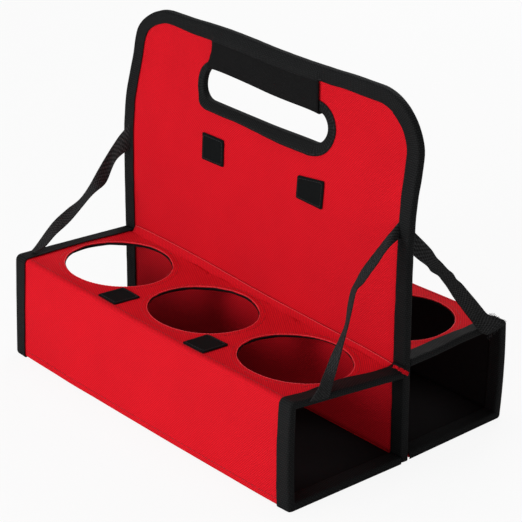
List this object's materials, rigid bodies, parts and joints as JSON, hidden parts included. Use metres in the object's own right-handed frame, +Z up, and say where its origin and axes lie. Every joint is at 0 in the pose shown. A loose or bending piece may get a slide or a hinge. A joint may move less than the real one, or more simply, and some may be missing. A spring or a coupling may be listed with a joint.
{
  "type": "cup carrier",
  "caption": "Folding cloth drinks carrier: an upright panel with a hand slot between two open-ended boxes with round cup holes, strap-braced.",
  "frame": {"origin": "on the floor, under the middle of the panel: the centre of the foot of the bounding box", "axes": "+X along the carrier and its hand slot, +Y from the near box to the far box, +Z up"},
  "size_m": [0.335, 0.214, 0.28],
  "materials": {
    "red_cloth": "woven red polyester canvas, matt with a fine raised grain",
    "black_cloth": "woven black polyester lining, matt",
    "black_tape": "ribbed black edge-binding tape, slightly sheened",
    "black_webbing": "flat black woven webbing",
    "black_fastener": "black hook-and-loop pile, very matt",
    "grey_board": "plain grey stiffener board, hidden inside the walls"
  },
  "bodies": {
    "panel": {"far_bottom_seam_fold": "red_cloth", "far_left_strap": "black_webbing", "far_right_strap": "black_webbing", "far_top_seam_fold": "red_cloth", "hand_slot_binding": "black_tape", "handle_sleeve": "black_cloth", "near_bottom_seam_fold": "red_cloth", "near_left_strap": "black_webbing", "near_right_strap": "black_webbing", "near_top_seam_fold": "red_cloth", "panel_board": "grey_board", "panel_edge_binding": "black_tape", "panel_far_cover": "red_cloth", "panel_far_left_patch": "black_fastener", "panel_far_right_patch": "black_fastener", "panel_left_lower_binding": "black_tape", "panel_near_cover": "red_cloth", "panel_near_left_patch": "black_fastener", "panel_near_right_patch": "black_fastener", "panel_right_lower_binding": "black_tape"},
    "near_top": {"near_shoulder_fold": "red_cloth", "near_top_board": "grey_board", "near_top_cover": "red_cloth", "near_top_left_binding": "black_tape", "near_top_left_patch": "black_fastener", "near_top_lining": "black_cloth", "near_top_right_binding": "black_tape", "near_top_right_patch": "black_fastener"},
    "near_side": {"near_side_board": "grey_board", "near_side_cover": "red_cloth", "near_side_left_binding": "black_tape", "near_side_lining": "black_cloth", "near_side_right_binding": "black_tape"},
    "near_bottom": {"near_bottom_board": "grey_board", "near_bottom_cover": "red_cloth", "near_bottom_left_binding": "black_tape", "near_bottom_lining": "black_cloth", "near_bottom_right_binding": "black_tape", "near_heel_fold": "red_cloth"},
    "far_top": {"far_shoulder_fold": "red_cloth", "far_top_board": "grey_board", "far_top_cover": "red_cloth", "far_top_left_binding": "black_tape", "far_top_left_patch": "black_fastener", "far_top_lining": "black_cloth", "far_top_right_binding": "black_tape", "far_top_right_patch": "black_fastener"},
    "far_side": {"far_side_board": "grey_board", "far_side_cover": "red_cloth", "far_side_left_binding": "black_tape", "far_side_lining": "black_cloth", "far_side_right_binding": "black_tape"},
    "far_bottom": {"far_bottom_board": "grey_board", "far_bottom_cover": "red_cloth", "far_bottom_left_binding": "black_tape", "far_bottom_lining": "black_cloth", "far_bottom_right_binding": "black_tape", "far_heel_fold": "red_cloth"}
  },
  "joints": [
    {"name": "near_top_fold", "type": "hinge", "parent": "panel", "child": "near_top", "pos_m": [0, -0.0045, 0.082], "axis": [-1, 0, 0], "range_deg": [0, 90], "deforming": ["near_top_seam_fold", "near_left_strap", "near_right_strap"]},
    {"name": "near_side_fold", "type": "hinge", "parent": "near_top", "child": "near_side", "pos_m": [0, -0.0906, 0.082], "axis": [-1, 0, 0], "range_deg": [-90, 0], "deforming": ["near_shoulder_fold"]},
    {"name": "near_bottom_fold", "type": "hinge", "parent": "panel", "child": "near_bottom", "pos_m": [0, -0.0045, 0.0108], "axis": [-1, 0, 0], "range_deg": [0, 90], "deforming": ["near_bottom_seam_fold", "near_heel_fold"]},
    {"name": "far_top_fold", "type": "hinge", "parent": "panel", "child": "far_top", "pos_m": [0, 0.0045, 0.082], "axis": [1, 0, 0], "range_deg": [0, 90], "deforming": ["far_top_seam_fold", "far_left_strap", "far_right_strap"]},
    {"name": "far_side_fold", "type": "hinge", "parent": "far_top", "child": "far_side", "pos_m": [0, 0.0906, 0.082], "axis": [1, 0, 0], "range_deg": [-90, 0], "deforming": ["far_shoulder_fold"]},
    {"name": "far_bottom_fold", "type": "hinge", "parent": "panel", "child": "far_bottom", "pos_m": [0, 0.0045, 0.0108], "axis": [1, 0, 0], "range_deg": [0, 90], "deforming": ["far_bottom_seam_fold", "far_heel_fold"]}
  ],
  "couplings": [
    {"joint": "near_side_fold", "follows": "near_top_fold", "ratio": -1},
    {"joint": "near_bottom_fold", "follows": "near_top_fold", "ratio": 1},
    {"joint": "far_side_fold", "follows": "far_top_fold", "ratio": -1},
    {"joint": "far_bottom_fold", "follows": "far_top_fold", "ratio": 1}
  ]
}
